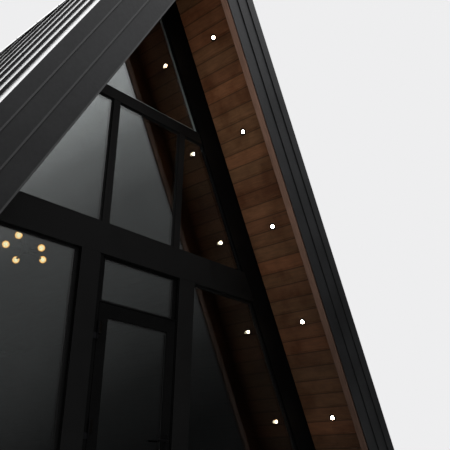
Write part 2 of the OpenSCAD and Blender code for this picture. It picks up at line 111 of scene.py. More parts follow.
class CabinSizes(bpy.types.PropertyGroup):
    """Sizes of the pieces that are added to the solids."""

    board_pitch: length("Soffit board", "Cover width of a soffit or lining board", 1.045 / 7)
    board_thick: length("Board thickness", "Thickness of a soffit or lining board", 0.020)
    board_edge: length("Board edge", "Chamfer on each long edge of a board", 0.005)
    lining_edge: length("Lining edge", "Chamfer on each long edge of a lining board", 0.001)
    clad_pitch: length("Cladding board", "Cover width of a back cladding board", 0.145)
    clad_thick: length("Cladding thickness", "Thickness of a back cladding board", 0.018)
    frame_edge: length("Frame edge", "Rounding of the edges of the black frames", 0.002)
    sheet_glass: length("Glass sheet", "Thickness of one sheet of a double-glazed unit", 0.006)
    seal_wide: length("Seal", "Width of the rubber seal round a pane", 0.005)
    seal_proud: length("Seal height", "Height of the rubber seal over the glass", 0.005)
    spacer_wide: length("Spacer", "Width of the spacer bar between two sheets", 0.014)
    lens_rim: length("Downlight rim", "Width of the metal rim of a downlight", 0.012)
    drip_wide: length("Drip edge", "Width of the drip edge under the foot of a slope", 0.012)
    screw: length("Ridge screw", "Radius of the washer of a ridge screw", 0.009)


class CabinColours(bpy.types.PropertyGroup):
    """Colours of the finishes."""

    steel: colour("Roof steel", "Coil-coated steel of the roof and the fascia", "#2e2e2f")
    black: colour("Black frames", "Powder-coated aluminium of the glazed wall", "#040404")
    matt: colour("Matt black", "Matt powder coat of the door and of the raking casings", "#050505")
    soffit: colour("Soffit boards", "Stained spruce under the overhang", "#8e6446")
    trim: colour("Barge boards", "Planed larch behind the fascia", "#937160")
    # Far darker than the soffit's stain: painted shade of the dim inside, on the lining, the floors and the
    # roof slabs
    lining: colour("Lining boards", "Stained spruce inside", "#1e150f")
    cladding: colour("Cladding boards", "Stained larch of the back gable", "#3b2b20")
    concrete: colour("Concrete", "Cast concrete of the base", "#8b8a86")
    lens: colour("Downlight", "Warm white light of the downlights", "#ffc98a")
    globe: colour("Lamp globes", "Amber light of the ceiling lamp", "#ffac1a")
    sky: colour("Sky", "Overcast sky behind the cabin", "#eeeeef")
    floor: colour("Floor", "Plain pale studio floor", "#d6d6d4")


def wire(node, inputs):
    """Links each input to a socket or to a node's first output, or sets it to a constant."""
    for key, value in inputs.items():
        if isinstance(value, bpy.types.Node):
            value = value.outputs[0]
        if isinstance(value, bpy.types.NodeSocket):
            node.id_data.links.new(value, node.inputs[key])
        else:
            node.inputs[key].default_value = value


def add(tree, kind, inputs=None, stops=(), **settings):
    """Adds a node with its settings, colour stops and links."""
    node = tree.nodes.new("ShaderNode" + kind)
    for key, value in settings.items():
        setattr(node, key, value)
    if stops:
        points = node.color_ramp.elements
        while len(points) < len(stops):
            points.new(0.5)
        for point, (place, stop) in zip(points, stops):
            point.position, point.color = place, stop
    wire(node, inputs or {})
    return node


def new_finish(name):
    """An empty material with its tree and its shader."""
    material = bpy.data.materials.new(name)
    material.use_nodes = True
    tree = material.node_tree
    return material, tree, tree.nodes["Principled BSDF"]


def chosen(hue):
    """A colour as it stands in the sidebar."""
    return getattr(bpy.context.scene.cabin_colours, hue)


FINISHES = {}


def finish(make, *values):
    """Makes a finish once, and gives it again for the next piece."""
    key = (make.__name__, *values)
    if key not in FINISHES:
        FINISHES[key] = make(*values)
    return FINISHES[key]


def coil_coated_steel(name, roughness, wet):
    """Steel sheet, zinc-coated and painted on the coil, with long shallow waves and rain marks.

    Dry, it is satin. A film of rain on the slopes makes them shine like a second coat, and
    runs off the upright sides of the seams."""
    # Wet paint looks darker, and the darker base is also painted shade on the seams
    base = shade(chosen("steel"), 1.0 - 0.45 * wet)
    material, tree, shader = new_finish(name)
    place = add(tree, "TexCoord").outputs["Object"]
    # Waves some 400 mm long, as rolled sheet has between its seams
    long = add(tree, "Mapping", {"Vector": place, "Scale": (1, 1.6, 0.7)})
    waves = add(tree, "TexNoise", {"Vector": long, "Scale": 2.5, "Detail": 1.0})
    # Rain runs down the slope, in marks about 60 mm wide
    runs = add(tree, "Mapping", {"Vector": place, "Scale": (0.15, 1, 0.15)})
    marks = add(tree, "TexNoise", {"Vector": runs, "Scale": 16.0, "Detail": 5.0})
    # Dried drops, in spots about 25 mm across
    spots = add(tree, "TexNoise", {"Vector": place, "Scale": 40.0, "Detail": 4.0})
    both = add(tree, "Math", {0: marks, 1: spots}, operation="ADD")
    # Grain of the paint, about 1.5 mm, drawn coarser than it is so that it shows
    grain = add(tree, "TexNoise", {"Vector": place, "Scale": 650.0, "Detail": 1.0})
    tone = [(0.0, shade(base, 0.78)), (1.0, shade(base, 1.22))]
    tone = add(tree, "ValToRGB", {"Fac": add(tree, "MapRange", {0: both, 1: 0.7, 2: 1.3})}, tone)
    # The lower part is darker: painted shade
    height = add(tree, "SeparateXYZ", {"Vector": place}).outputs["Z"]
    foot_shade = add(tree, "MapRange", {0: height, 1: 2.6, 2: 5.6, 3: 0.33, 4: 1.0})
    tone = add(tree, "VectorMath", {0: tone, "Scale": foot_shade}, operation="SCALE")
    low = add(tree, "Bump", {"Height": waves, "Distance": 0.004, "Strength": 0.3})
    fine = add(tree, "Bump", {"Height": grain, "Distance": 0.0002, "Strength": 0.2, "Normal": low})
    rough = add(tree, "MapRange", {0: marks, 1: 0.3, 2: 0.7, 3: roughness, 4: roughness + 0.1})
    wire(shader, {"Base Color": tone, "Roughness": rough, "Specular IOR Level": 0.15, "Normal": fine})
    upright = add(tree, "SeparateXYZ", {"Vector": add(tree, "TexCoord").outputs["Normal"]}).outputs["Y"]
    upright = add(tree, "Math", {0: upright}, operation="ABSOLUTE")
    film = add(tree, "MapRange", {0: upright, 1: 0.2, 2: 0.6, 3: wet, 4: 0.0})
    wire(shader, {"Coat Weight": film, "Coat Roughness": 0.2, "Coat IOR": 1.33})
    return material


def powder_coated_aluminium(name, hue, sheen):
    """Extruded aluminium, powder-coated: near black, with a fine even pimple and hardly any gloss."""
    base = chosen(hue)
    material, tree, shader = new_finish(name)
    place = add(tree, "TexCoord").outputs["Object"]
    # Pimple of the coat, about 1.5 mm
    grain = add(tree, "TexNoise", {"Vector": place, "Scale": 700.0, "Detail": 1.0})
    # Dust and dried drops, in patches about 200 mm across
    dust = add(tree, "TexNoise", {"Vector": place, "Scale": 5.0, "Detail": 8.0, "Roughness": 0.6})
    tone = add(tree, "ValToRGB", {"Fac": dust}, [(0.3, shade(base, 0.75)), (0.7, shade(base, 1.3))])
    fine = add(tree, "Bump", {"Height": grain, "Distance": 0.0002, "Strength": 0.3})
    rough = add(tree, "MapRange", {0: dust, 1: 0.3, 2: 0.7, 3: 0.45, 4: 0.6})
    wire(shader, {"Base Color": tone, "Roughness": rough, "Specular IOR Level": sheen, "Normal": fine})
    return material


def stained_boards(name, hue, axis, step, start, along, foot_shade=1.0):
    """Spruce or larch, planed and stained: each board takes the stain its own way, with darker knots.

    The boards follow each other along axis, step apart from start, and their grain runs along.
    Towards the foot they are darker by the factor that is given: painted shade."""
    base = chosen(hue)
    material, tree, shader = new_finish(name)
    place = add(tree, "TexCoord").outputs["Object"]
    parts = add(tree, "SeparateXYZ", {"Vector": place})
    count = add(tree, "Math", {0: parts.outputs[axis], 1: start}, operation="SUBTRACT")
    count = add(tree, "Math", {0: count, 1: step}, operation="DIVIDE")
    within = add(tree, "Math", {0: count}, operation="FRACT")
    count = add(tree, "Math", {0: count}, operation="FLOOR")
    side = add(tree, "Math", {0: parts.outputs["X"]}, operation="SIGN")
    half = add(tree, "Math", {0: parts.outputs["Y"]}, operation="SIGN")
    key = add(tree, "CombineXYZ", {"X": count, "Y": 0.0 if axis == "X" else side, "Z": half})
    draw = add(tree, "TexWhiteNoise", {"Vector": key})
    shift = add(tree, "VectorMath", {0: draw.outputs["Color"], "Scale": 9.0}, operation="SCALE")
    apart = add(tree, "VectorMath", {0: place, 1: shift}, operation="ADD")
    stretch = [0.1 if letter == along else 1.0 for letter in "XYZ"]
    grown = add(tree, "Mapping", {"Vector": apart, "Scale": stretch})
    # Growth rings show as bands about 20 mm apart, and fibres about 3 mm apart
    rings = add(tree, "TexNoise", {"Vector": grown, "Scale": 50.0, "Detail": 7.0, "Distortion": 0.8})
    fibres = add(tree, "TexNoise", {"Vector": grown, "Scale": 330.0, "Detail": 2.0})
    # Knots up to 30 mm across, some 350 mm apart
    eyes = add(tree, "Mapping", {"Vector": apart, "Scale": [0.6 if v < 1 else 1.0 for v in stretch]})
    eyes = add(tree, "TexVoronoi", {"Vector": eyes, "Scale": 2.9})
    # The joint between two boards darkens 8 mm of each, more than it is, so that it shows
    edge = add(tree, "Math", {0: within, 1: 0.5}, operation="SUBTRACT")
    edge = add(tree, "Math", {0: edge}, operation="ABSOLUTE")
    joint = add(tree, "MapRange", {0: edge, 1: 0.5 - 0.008 / step, 2: 0.5 - 0.003 / step, 3: 0.0, 4: 0.7})
    knot = add(tree, "MapRange", {0: eyes, 1: 0.02, 2: 0.05, 3: 0.7, 4: 0.0})
    dark = add(tree, "Math", {0: knot, 1: joint}, operation="MAXIMUM")
    # The stain took unevenly, in clouds about 300 mm across that are redder where it is deep
    cloud = add(tree, "TexNoise", {"Vector": place, "Scale": 3.2, "Detail": 5.0, "Roughness": 0.6})
    tints = [(0.36, (0.72, 0.62, 0.56, 1.0)), (0.5, (1.0, 1.0, 1.0, 1.0)), (0.62, (1.2, 1.2, 1.24, 1.0))]
    cloud = add(tree, "ValToRGB", {"Fac": cloud}, tints)
    # From board to board it goes from a reddish brown to an olive brown and to orange
    stain = [(0.0, (0.9, 0.8, 0.76, 1.0)), (0.35, (0.93, 0.98, 0.95, 1.0))]
    stain += [(0.65, (1.02, 0.98, 0.93, 1.0)), (1.0, (1.22, 1.04, 0.95, 1.0))]
    board = add(tree, "ValToRGB", {"Fac": draw.outputs["Value"]}, stain)
    wood = [(0.3, shade(base, 0.8)), (0.5, base), (0.72, shade(base, 1.2))]
    wood = add(tree, "ValToRGB", {"Fac": rings}, wood)
    mixed = add(tree, "VectorMath", {0: wood, 1: board}, operation="MULTIPLY")
    mixed = add(tree, "VectorMath", {0: mixed, 1: cloud}, operation="MULTIPLY")
    mixed = add(tree, "Mix", {0: dark, 6: mixed, 7: shade(base, 0.2)}, data_type="RGBA").outputs[2]
    if foot_shade < 1.0:
        # Darker towards the foot, by the given factor: painted shade
        wet = add(tree, "MapRange", {0: parts.outputs["Z"], 1: 2.4, 2: 5.2, 3: foot_shade, 4: 1.0})
        # Close under the ridge the boards are darker: painted shade
        thick_and_ridge_shade = add(tree, "MapRange", {0: parts.outputs["Z"], 1: 4.8, 2: 5.5, 3: 1.0, 4: 0.68})
        wet = add(tree, "Math", {0: wet, 1: thick_and_ridge_shade}, operation="MULTIPLY")
        mixed = add(tree, "VectorMath", {0: mixed, "Scale": wet}, operation="SCALE")
    low = add(tree, "Bump", {"Height": rings, "Distance": 0.0012, "Strength": 0.4})
    fine = add(tree, "Bump", {"Height": fibres, "Distance": 0.0005, "Strength": 0.4, "Normal": low})
    rough = add(tree, "MapRange", {0: rings, 1: 0.3, 2: 0.7, 3: 0.5, 4: 0.7})
    wire(shader, {"Base Color": mixed, "Roughness": rough, "Specular IOR Level": 0.25, "Normal": fine})
    return material


def planed_larch():
    """Larch boards planed smooth and oiled: straight grain up the slope, paler than the soffit."""
    base = chosen("trim")
    material, tree, shader = new_finish("Planed larch")
    place = add(tree, "TexCoord").outputs["Object"]
    parts = add(tree, "SeparateXYZ", {"Vector": place})
    across = add(tree, "Math", {0: parts.outputs["X"]}, operation="ABSOLUTE")
    folded = add(tree, "CombineXYZ", {"X": across, "Y": parts.outputs["Y"], "Z": parts.outputs["Z"]})
    turned = add(tree, "Mapping", {"Vector": folded, "Rotation": (0, -SLOPE, 0)})
    grown = add(tree, "Mapping", {"Vector": turned, "Scale": (0.08, 1, 1)})
    # Growth rings cut lengthwise, in bands about 12 mm apart
    rings = add(tree, "TexNoise", {"Vector": grown, "Scale": 80.0, "Detail": 6.0, "Distortion": 0.5})
    patches = add(tree, "TexNoise", {"Vector": turned, "Scale": 1.4, "Detail": 3.0})
    wood = add(tree, "ValToRGB", {"Fac": rings}, [(0.3, shade(base, 0.6)), (0.7, shade(base, 1.3))])
    worn = add(tree, "ValToRGB", {"Fac": patches}, [(0.35, shade(base, 0.75)), (0.65, shade(base, 1.2))])
    mixed = add(tree, "Mix", {0: 0.5, 6: wood, 7: worn}, data_type="RGBA").outputs[2]
    # The lower part is darker: painted shade
    foot_shade = add(tree, "MapRange", {0: parts.outputs["Z"], 1: 1.8, 2: 4.4, 3: 0.3, 4: 1.0})
    mixed = add(tree, "VectorMath", {0: mixed, "Scale": foot_shade}, operation="SCALE")
    fine = add(tree, "Bump", {"Height": rings, "Distance": 0.0008, "Strength": 0.4})
    wire(shader, {"Base Color": mixed, "Roughness": 0.6, "Specular IOR Level": 0.25, "Normal": fine})
    return material


def cast_concrete():
    """Concrete cast in a smooth mould: cloudy grey with small blow holes."""
    base = chosen("concrete")
    material, tree, shader = new_finish("Cast concrete")
    place = add(tree, "TexCoord").outputs["Object"]
    cloud = add(tree, "TexNoise", {"Vector": place, "Scale": 2.2, "Detail": 9.0})
    sand = add(tree, "TexNoise", {"Vector": place, "Scale": 300.0, "Detail": 3.0})
    # Blow holes up to 8 mm across, some 40 mm apart
    holes = add(tree, "TexVoronoi", {"Vector": place, "Scale": 25.0})
    pit = add(tree, "MapRange", {0: holes, 1: 0.04, 2: 0.11})
    tone = add(tree, "ValToRGB", {"Fac": cloud}, [(0.3, shade(base, 0.7)), (0.7, shade(base, 1.15))])
    low = add(tree, "Bump", {"Height": pit, "Distance": 0.003, "Strength": 0.6})
    fine = add(tree, "Bump", {"Height": sand, "Distance": 0.0008, "Strength": 0.5, "Normal": low})
    wire(shader, {"Base Color": tone, "Roughness": 0.88, "Normal": fine})
    return material


def float_glass():
    """Clear float glass: flat and sharp in its reflections, with hardly any green in so thin a sheet."""
    material, tree, shader = new_finish("Float glass")
    place = add(tree, "TexCoord").outputs["Object"]
    # The body of the glass holds a trace of iron, unevenly, in upright streaks about 700 mm wide
    streak = add(tree, "Mapping", {"Vector": place, "Scale": (1, 1, 0.3)})
    streak = add(tree, "TexNoise", {"Vector": streak, "Scale": 1.4, "Detail": 1.0})
    body = add(tree, "ValToRGB", {"Fac": streak}, [(0.3, linear("#dde3e2")), (0.7, linear("#e6ebea"))])
    wire(shader, {"Base Color": body, "Roughness": 0.0, "Transmission Weight": 1.0})
    # Its coat against heat loss mirrors more than bare glass, which has 1.5
    wire(shader, {"IOR": 1.65})
    return material


def lit_glass(name, hue, core, strength):
    """Opal glass in front of a warm lamp: brightest where it faces the eye, deeper in hue at its rim."""
    warm = chosen(hue)
    material, tree, shader = new_finish(name)
    rim = add(tree, "LayerWeight", {"Blend": 0.4}).outputs["Facing"]
    tone = add(tree, "ValToRGB", {"Fac": rim}, [(0.05, linear(core)), (0.5, warm)])
    wire(shader, {"Base Color": linear("#fff2d8"), "Roughness": 0.3})
    wire(shader, {"Emission Color": tone, "Emission Strength": strength})
    return material


def blackened_steel():
    """Stainless steel, brushed and then blackened in a bath: dark, with fine lines and a low sheen."""
    material, tree, shader = new_finish("Blackened stainless steel")
    place = add(tree, "TexCoord").outputs["Object"]
    lie = add(tree, "Mapping", {"Vector": place, "Scale": (0.02, 1, 1)})
    # Brush lines about 1 mm apart, drawn coarser than they are
    brush = add(tree, "TexNoise", {"Vector": lie, "Scale": 1000.0, "Detail": 2.0})
    fine = add(tree, "Bump", {"Height": brush, "Distance": 0.0001, "Strength": 0.2})
    wire(shader, {"Base Color": linear("#0b0b0c"), "Metallic": 1.0, "Normal": fine})
    wire(shader, {"Roughness": add(tree, "MapRange", {0: brush, 1: 0.3, 2: 0.7, 3: 0.35, 4: 0.5})})
    return material


def mill_aluminium():
    """Mill-finish aluminium of the spacer bars: pale and dull, a little uneven from the die."""
    material, tree, shader = new_finish("Mill-finish aluminium")
    place = add(tree, "TexCoord").outputs["Object"]
    drawn = add(tree, "TexNoise", {"Vector": place, "Scale": 90.0, "Detail": 3.0})
    rough = add(tree, "MapRange", {0: drawn, 1: 0.3, 2: 0.7, 3: 0.38, 4: 0.5})
    wire(shader, {"Base Color": linear("#dfe2e1"), "Metallic": 0.6, "Roughness": rough})
    return material


def gilt_aluminium():
    """Spun aluminium of the reflectors, anodised gold: warm, with marks of the turning."""
    material, tree, shader = new_finish("Gold-anodised aluminium")
    place = add(tree, "TexCoord").outputs["Object"]
    # The marks are about 2 mm apart
    spun = add(tree, "TexNoise", {"Vector": place, "Scale": 450.0, "Detail": 2.0})
    rough = add(tree, "MapRange", {0: spun, 1: 0.3, 2: 0.7, 3: 0.3, 4: 0.45})
    wire(shader, {"Base Color": linear("#7a4a12"), "Metallic": 1.0, "Roughness": rough})
    return material


def moulded_rubber():
    """EPDM rubber, extruded: dull black with a faint bloom."""
    material, tree, shader = new_finish("Moulded rubber")
    place = add(tree, "TexCoord").outputs["Object"]
    bloom = add(tree, "TexNoise", {"Vector": place, "Scale": 30.0, "Detail": 4.0})
    tone = add(tree, "ValToRGB", {"Fac": bloom}, [(0.3, linear("#070707")), (0.7, linear("#0e0e0e"))])
    wire(shader, {"Base Color": tone, "Roughness": 0.75, "Specular IOR Level": 0.2})
    return material


# The two black coats, with the specular level of their sheen
FRAME_COAT = (powder_coated_aluminium, "Powder-coated aluminium", "black", 0.09)
MATT_COAT = (powder_coated_aluminium, "Powder-coated aluminium, matt", "matt", 0.03)


def select_only(*pieces):
    """Leaves edit mode and selects these objects alone, the first one active."""
    if bpy.context.object and bpy.context.object.mode != "OBJECT":
        bpy.ops.object.mode_set(mode="OBJECT")
    bpy.ops.object.select_all(action="DESELECT")
    for piece in pieces:
        piece.select_set(True)
    bpy.context.view_layer.objects.active = pieces[0]


def edit_all(piece, action="SELECT"):
    """Opens a piece in edit mode with all of it selected, or none of it."""
    select_only(piece)
    bpy.ops.object.mode_set(mode="EDIT")
    bpy.ops.mesh.select_mode(type="FACE")
    bpy.ops.mesh.select_all(action=action)


def leave_edit():
    """Goes back to object mode, with the edits made."""
    bpy.ops.object.mode_set(mode="OBJECT")


def facing(way):
    """A test for the faces that look along a direction, to within 25 degrees."""
    return lambda face: face.normal.dot(way) > 0.9


FRONT = facing(Vector((0, -1, 0)))
BACK = facing(Vector((0, 1, 0)))


def pick(piece, test):
    """Selects the faces that pass the test, in edit mode."""
    edit_all(piece, "DESELECT")
    leave_edit()
    for face in piece.data.polygons:
        face.select = test(face)
    bpy.ops.object.mode_set(mode="EDIT")


def draw_out(shift):
    """Extrudes the selected faces by a shift."""
    bpy.ops.mesh.extrude_region_move(TRANSFORM_OT_translate={"value": shift})


def press(piece, way, rim, shift):
    """Shifts the face that looks along a direction, all but a rim, and stays in edit mode."""
    pick(piece, facing(way))
    bpy.ops.mesh.inset(thickness=rim, depth=0)
    draw_out(shift)


def closed(piece):
    """Turns a closed mesh's faces outwards and leaves edit mode."""
    edit_all(piece)
    bpy.ops.mesh.normals_make_consistent(inside=False)
    leave_edit()
    return piece


def fix_place(piece):
    """Puts a piece's place, turn and size into its mesh."""
    select_only(piece)
    bpy.ops.object.transform_apply(location=True, rotation=True, scale=True)
    return piece


def modify(piece, kind, **settings):
    """Adds a modifier with its settings and applies it."""
    modifier = piece.modifiers.new(kind.title(), kind)
    for key, value in settings.items():
        setattr(modifier, key, value)
    select_only(piece)
    bpy.ops.object.modifier_apply(modifier=modifier.name)


def round_edges(piece, width, segments=2):
    """Rounds every edge that turns by more than 30 degrees."""
    modify(piece, "BEVEL", width=width, segments=segments, limit_method="ANGLE", angle_limit=math.radians(30))


def repeat(piece, step, count):
    """A row of copies, step apart."""
    offset = {"use_relative_offset": False, "use_constant_offset": True, "constant_offset_displace": step}
    modify(piece, "ARRAY", count=count, **offset)


def cut(piece, point, normal):
    """Cuts off what lies beyond a plane and closes the cut."""
    edit_all(piece)
    bpy.ops.mesh.bisect(plane_co=point, plane_no=normal, use_fill=True, clear_outer=True)
    leave_edit()


def block(low, high):
    """A box between two corners."""
    centre = [(a + b) / 2 for a, b in zip(low, high)]
    size = [b - a for a, b in zip(low, high)]
    bpy.ops.mesh.primitive_cube_add(size=1, location=centre, scale=size)
    return fix_place(bpy.context.object)


def rod(radius, start, end, sides=24):
    """A round bar between two points."""
    run = Vector(end) - Vector(start)
    turn = run.to_track_quat("Z", "Y").to_euler()
    middle = (Vector(start) + Vector(end)) / 2
    bpy.ops.mesh.primitive_cylinder_add(
        vertices=sides, radius=radius, depth=run.length, location=middle, rotation=turn
    )
    return fix_place(bpy.context.object)


def joined(pieces):
    """Several meshes made one object."""
    select_only(*pieces)
    if len(pieces) > 1:
        bpy.ops.object.join()
    return pieces[0]


def twin(piece):
    """A copy with its own mesh."""
    select_only(piece)
    bpy.ops.object.duplicate()
    return bpy.context.object


def mirrored(piece):
    """A copy on the other side of the middle, its faces turned outwards again."""
    other = twin(piece)
    other.scale.x = -1
    return closed(fix_place(other))


def copy_of(node):
    """A merged copy of a CAD node, with whole flat faces in place of loose triangles."""
    piece = bpy.data.objects.new(node + "_copy", NODES[node].data.copy())
    bpy.context.scene.collection.objects.link(piece)
    edit_all(piece)
    bpy.ops.mesh.remove_doubles(threshold=0.00005)
    bpy.ops.mesh.dissolve_limited(angle_limit=math.radians(1))
    leave_edit()
    return piece


def islands(node):
    """The lowest and highest corner of each separate solid of a CAD node, sorted."""
    edit_all(copy_of(node))
    bpy.ops.mesh.separate(type="LOOSE")
    leave_edit()
    boxes = []
    for piece in bpy.context.selected_objects:
        places = list(zip(*([round(c, 5) for c in vertex.co] for vertex in piece.data.vertices)))
        boxes.append((Vector(map(min, places)), Vector(map(max, places))))
        bpy.data.objects.remove(piece)
    return sorted(boxes, key=lambda pair: tuple(pair[0]))


def done(piece, name, body, slot, material, *nodes):
    """Names a finished piece, gives it its body and its finish, and hides the nodes that it stands for. The
    slot is not used.
    """
    fix_place(piece)
    piece.name = piece.data.name = name
    piece.data.materials.clear()
    piece.data.materials.append(material)
    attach(piece, body)
    if nodes:
        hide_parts(*nodes)


def paint(material, *nodes):
    """Gives CAD nodes their finish."""
    for node in nodes:
        mesh = NODES[node].data
        mesh.materials.clear()
        mesh.materials.append(material)


def smooth(piece):
    """Shades round faces smooth, and keeps edges that turn by over 35 degrees."""
    select_only(piece)
    bpy.ops.object.shade_smooth_by_angle(angle=math.radians(35))


def extrude(piece, shift):
    """Gives a flat piece its thickness and closes it."""
    edit_all(piece)
    draw_out(shift)
    return closed(piece)


def face_of(node, test):
    """The faces of a CAD node that pass the test, as a flat piece."""
    piece = copy_of(node)
    pick(piece, lambda face: not test(face))
    bpy.ops.mesh.delete(type="FACE")
    leave_edit()
    return piece


def ring_of(node, test, width):
    """A flat ring of a width, just inside the outline of each such face."""
    piece = face_of(node, test)
    edit_all(piece)
    bpy.ops.mesh.inset(thickness=width, depth=0)
    bpy.ops.mesh.delete(type="FACE")
    leave_edit()
    return piece


def eased(node, width, suffix, body, slot, material, segments=2):
    """A copy of a CAD node with rounded edges, which stands for it."""
    piece = copy_of(node)
    round_edges(piece, width, segments)
    done(piece, node + suffix, body, slot, material, node)


def moved(piece, shift):
    """Shifts a piece whose place is in its mesh."""
    piece.location = shift
    return fix_place(piece)


class CABIN_OT_base(bpy.types.Operator):
    """Concrete strips and porch slab with eased edges"""

    bl_idname = "cabin.base"
    bl_label = "Concrete base"

    def execute(self, context):
        concrete = finish(cast_concrete)
        for node in ("foundation", "porch_slab"):
            eased(node, CAST_EDGE, "_cast", CABIN, "concrete", concrete)
        return {"FINISHED"}


class CABIN_OT_roof(bpy.types.Operator):
    """Seamed steel slopes, ridge cap with its screws and folded drip edges"""

    bl_idname = "cabin.roof"
    bl_label = "Steel roof"

    def execute(self, context):
        sizes = context.scene.cabin_sizes
        steel = finish(coil_coated_steel, "Coil-coated steel, wet", 0.15, 1.0)
        paint(steel, "roof_sheet_left", "roof_sheet_right", "ridge_closers")
        eased("ridge_cap", FOLDED_EDGE, "_folded", CABIN, "roof_metal", steel)
        panel = 1.2
        boards = finish(stained_boards, "Structural spruce", "lining", "Y", panel, 0.0, "Z")
        paint(boards, "roof_slab_left", "roof_slab_right")
        self.screws(sizes, steel)
        self.drips(sizes, steel)
        return {"FINISHED"}

    def screws(self, sizes, steel):
        """A hexagon head on a washer in the middle of each bay, on both sides of the cap."""
        from_edge, washer_thick, head_thick, head_share = 0.032, 0.0025, 0.005, 0.55
        low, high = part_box("ridge_cap")
        left = sorted((box for box in islands("ridge_closers") if box[0].x < 0), key=lambda box: box[0].y)
        pitch = left[1][0].y - left[0][0].y
        out = -inwards(1)
        foot = Vector((high.x, (left[0][0].y + left[0][1].y) / 2, low.z)) - DOWN * from_edge
        seat = foot + out * washer_thick
        washer = rod(sizes.screw, foot, seat, 16)
        head = rod(sizes.screw * head_share, seat, seat + out * head_thick, 6)
        screw = joined([washer, head])
        round_edges(screw, SMALL_EDGE, 1)
        repeat(screw, (0, pitch, 0), len(left))
        done(joined([screw, mirrored(screw)]), "ridge_screws", CABIN, "roof_metal", steel)

    def drips(self, sizes, steel):
        """An angle under the foot of each slope that throws the water off the concrete."""
        clear, thick_and_ridge_shade, rim, kick, drop = 0.0005, 0.002, 0.003, 0.004, 0.045
        low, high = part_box("roof_sheet_right")
        x0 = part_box("foundation")[1].x
        top = ROOF_FOOT - clear
        drip = block((x0, low.y, top - thick_and_ridge_shade), (x0 + sizes.drip_wide, high.y, top))
        press(drip, Vector((0, 0, -1)), rim, (kick, 0, -drop))
        leave_edit()
        round_edges(drip, SMALL_EDGE, 1)
        done(joined([drip, mirrored(drip)]), "drip_edges", CABIN, "roof_metal", steel)


class CABIN_OT_fascias(bpy.types.Operator):
    """Folded steel fascias with eased arrises"""

    bl_idname = "cabin.fascias"
    bl_label = "Fascias"

    def execute(self, context):
        steel = finish(coil_coated_steel, "Coil-coated steel", 0.32, 0.0)
        for end in ("front", "back"):
            for side, name in SIDES:
                node = f"fascia_{end}_{name}"
                eased(node, FOLDED_EDGE, "_folded", CABIN, "roof_metal", steel)
                self.seals(node, inwards(side))
        return {"FINISHED"}

    def seals(self, node, way):
        """Black rubber tape, 1.5 mm thick, on the underside of the two upper drip lips: painted shade, a dark
        sheet where the gaps hold only shade.
        """
        shade_tape = extrude(face_of(node, facing(way)), way * 0.0015)
        done(shade_tape, node + "_seals", CABIN, "black_metal", finish(moulded_rubber))


def sloped_boards(side, depth, y0, y1, foot, edge):
    """Boards under one slope, from the apex down to the foot, each running from y0 to y1."""
    sizes = bpy.context.scene.cabin_sizes
    pitch = sizes.board_pitch
    thick_and_ridge_shade = sizes.board_thick
    # The first board starts above the apex, and the cut in the middle trims it
    first = Vector((0, 0, peak(depth + thick_and_ridge_shade / 2))) - DOWN * pitch
    piece = block((0, y0, -thick_and_ridge_shade / 2), (pitch, y1, thick_and_ridge_shade / 2))
    round_edges(piece, edge, 1)
    piece.rotation_euler = (0, SLOPE, 0)
    moved(piece, first)
    run = (peak(depth) - foot) / math.sin(SLOPE)
    repeat(piece, DOWN * pitch, math.ceil(run / pitch) + 3)
    cut(piece, (0, 0, 0), (-1, 0, 0))
    cut(piece, (0, 0, foot), (0, 0, -1))
    if side < 0:
        piece.scale.x = -1
        fix_place(piece)
    return closed(piece)


def board_rise():
    """Height that one board under a slope takes up."""
    return bpy.context.scene.cabin_sizes.board_pitch * math.sin(SLOPE)


class CABIN_OT_soffits(bpy.types.Operator):
    """Stained boards under both overhangs, with a chamfered joint between them"""

    bl_idname = "cabin.soffits"
    bl_label = "Soffit boards"

    def execute(self, context):
        sizes = context.scene.cabin_sizes
        depth = depth_of("soffit_front_right")
        start = peak(depth + sizes.board_thick)
        stained = finish(stained_boards, "Stained spruce", "soffit", "Z", board_rise(), start, "Y", 0.33)
        for end in ("front", "back"):
            for side, name in SIDES:
                node = f"soffit_{end}_{name}"
                low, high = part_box(node)
                piece = sloped_boards(side, depth, low.y, high.y, low.z, sizes.board_edge)
                done(piece, node + "_boards", CABIN, "timber", stained, node)
        return {"FINISHED"}


class CABIN_OT_trims(bpy.types.Operator):
    """Planed barge boards behind the fascias"""

    bl_idname = "cabin.trims"
    bl_label = "Barge boards"

    def execute(self, context):
        eased("soffit_trims", WOOD_EDGE, "_planed", CABIN, "trim_timber", finish(planed_larch))
        return {"FINISHED"}


